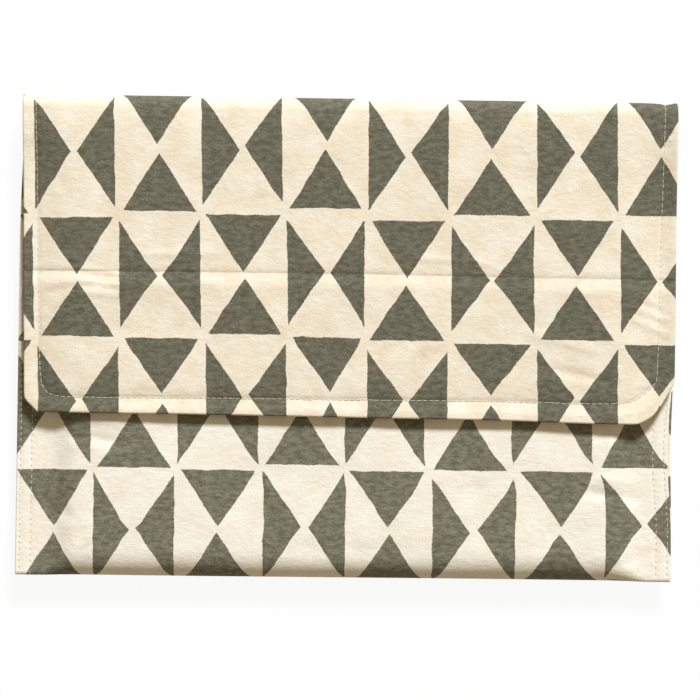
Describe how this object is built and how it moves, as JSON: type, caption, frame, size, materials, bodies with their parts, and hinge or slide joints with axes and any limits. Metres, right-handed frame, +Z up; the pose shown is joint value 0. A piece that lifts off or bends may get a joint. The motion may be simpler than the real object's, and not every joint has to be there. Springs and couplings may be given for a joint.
{
  "type": "laptop sleeve",
  "caption": "Padded fabric laptop sleeve with a fold-over envelope flap, side seams in double topstitching and a hidden touch fastener",
  "frame": {"origin": "middle of the rest face under the closed sleeve, at the bottom centre of its box", "axes": "+X along the fold to the right of the flap, +Y from the bottom edge to the fold over the mouth, +Z up out of the front with the flap on top"},
  "size_m": [0.35, 0.256, 0.0232],
  "materials": {
    "printed_canvas": "natural cotton canvas, block printed in charcoal grey triangles",
    "lining": "plain cotton lining",
    "padding": "needled cotton wadding",
    "interlining": "stiff woven interlining",
    "thread": "spun sewing thread",
    "hook_tape": "moulded nylon hooks on woven tape",
    "loop_tape": "brushed nylon loop pile"
  },
  "bodies": {
    "sleeve": {"back_fold_canvas": "printed_canvas", "back_fold_lining": "lining", "back_lining": "lining", "back_padding": "padding", "flap_root_canvas": "printed_canvas", "flap_root_interlining": "interlining", "flap_root_lining": "lining", "flap_seam_thread": "thread", "front_lining": "lining", "front_padding": "padding", "left_loop_stitching": "thread", "left_loop_tape": "loop_tape", "left_seam_inner_thread": "thread", "left_seam_outer_thread": "thread", "mouth_hem_thread": "thread", "outer_back_panel": "printed_canvas", "outer_front_panel": "printed_canvas", "right_loop_stitching": "thread", "right_loop_tape": "loop_tape", "right_seam_inner_thread": "thread", "right_seam_outer_thread": "thread"},
    "spine": {"spine_canvas": "printed_canvas", "spine_interlining": "interlining", "spine_lining": "lining"},
    "flap": {"flap_outer_panel": "printed_canvas", "flap_interlining": "interlining", "flap_lining": "lining", "flap_edge_thread": "thread", "front_fold_canvas": "printed_canvas", "front_fold_lining": "lining", "left_hook_tape": "hook_tape", "right_hook_tape": "hook_tape", "left_hook_stitching": "thread", "right_hook_stitching": "thread"}
  },
  "joints": [
    {"name": "back_fold_hinge", "type": "hinge", "parent": "sleeve", "child": "spine", "pos_m": [0, 0.12628, 0.00172], "axis": [-1, 0, 0], "range_deg": [0, 90], "deforming": ["back_fold_canvas", "back_fold_lining"]},
    {"name": "front_fold_hinge", "type": "hinge", "parent": "spine", "child": "flap", "pos_m": [0, 0.12628, 0.02148], "axis": [-1, 0, 0], "range_deg": [0, 90], "deforming": ["front_fold_canvas", "front_fold_lining"]}
  ]
}
